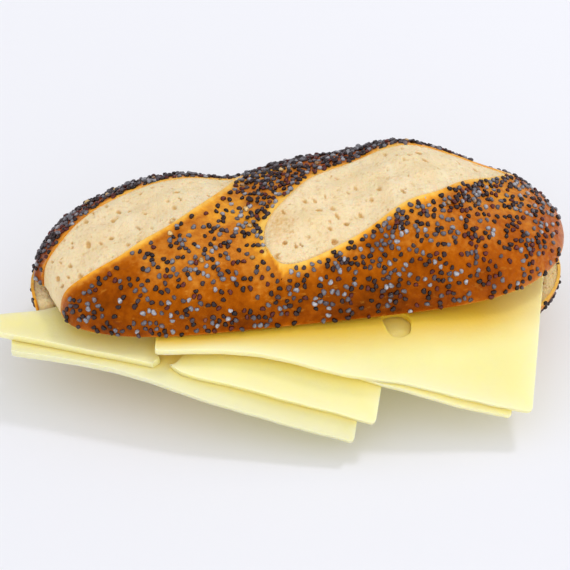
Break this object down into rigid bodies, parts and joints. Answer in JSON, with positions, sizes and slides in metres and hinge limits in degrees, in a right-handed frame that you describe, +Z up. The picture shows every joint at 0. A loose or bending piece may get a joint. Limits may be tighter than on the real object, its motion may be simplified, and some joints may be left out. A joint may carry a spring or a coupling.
{
  "type": "cheese bread roll",
  "caption": "Oval poppy-seed bread roll cut through level, with crumb bursts on top and cheese slices between the halves hanging out in front.",
  "frame": {"origin": "on the surface that the roll rests on, under the middle of the box round the whole, cheese and all", "axes": "+X along the roll, -Y the front where the cheese hangs out, +Z up"},
  "size_m": [0.1334, 0.0756, 0.0437],
  "materials": {
    "crust": "glossy brown lye crust with pale crumb bursts and dark poppy seeds",
    "cheese": "smooth, waxy, pale yellow"
  },
  "bodies": {
    "root": {"roll_base": "crust", "roll_lid": "crust", "cheese_slice_1": "cheese", "cheese_slice_2": "cheese", "cheese_slice_3": "cheese", "cheese_slice_4": "cheese"}
  },
  "joints": []
}
